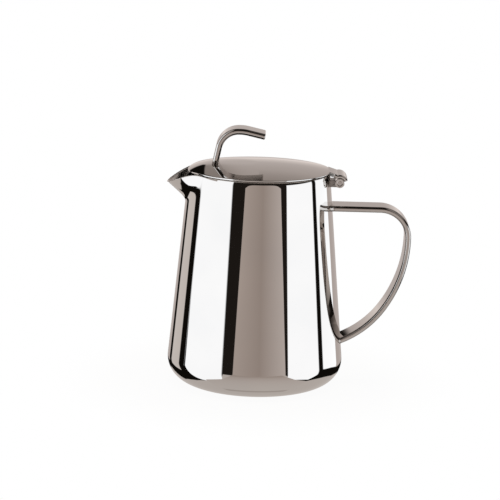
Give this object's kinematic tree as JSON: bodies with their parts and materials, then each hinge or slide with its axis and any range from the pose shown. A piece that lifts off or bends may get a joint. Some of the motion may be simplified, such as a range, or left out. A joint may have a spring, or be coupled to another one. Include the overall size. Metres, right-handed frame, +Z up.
{
  "type": "milk jug with hinged lid",
  "caption": "Small conical steel jug with a pressed pouring lip, a bent strap handle and a hinged domed lid that is lifted by a strap curl.",
  "frame": {"origin": "centre of the round base, on the surface that the jug stands on", "axes": "+Z up along the body's axis, +X towards the handle and the hinge, -X towards the pouring lip, +Y along the hinge pin"},
  "size_m": [0.111, 0.0798, 0.117],
  "materials": {
    "body_steel": "mirror polished stainless steel",
    "lid_steel": "mirror polished stainless steel",
    "strap_steel": "mirror polished stainless steel with softened edges",
    "hinge_steel": "polished stainless steel, slightly duller in the hinge"
  },
  "bodies": {
    "jug": {"jug_body": "body_steel", "handle_strap": "strap_steel", "hinge_lug": "hinge_steel"},
    "lid": {"lid_dome": "lid_steel", "lid_skirt": "lid_steel", "lid_tongue": "hinge_steel", "lid_knuckle_near": "hinge_steel", "lid_knuckle_far": "hinge_steel", "hinge_pin": "hinge_steel", "thumb_curl": "strap_steel"}
  },
  "joints": [
    {"name": "lid_hinge", "type": "hinge", "parent": "jug", "child": "lid", "pos_m": [0.0361, 0, 0.0939], "axis": [0, 1, 0], "range_deg": [0, 110]}
  ]
}
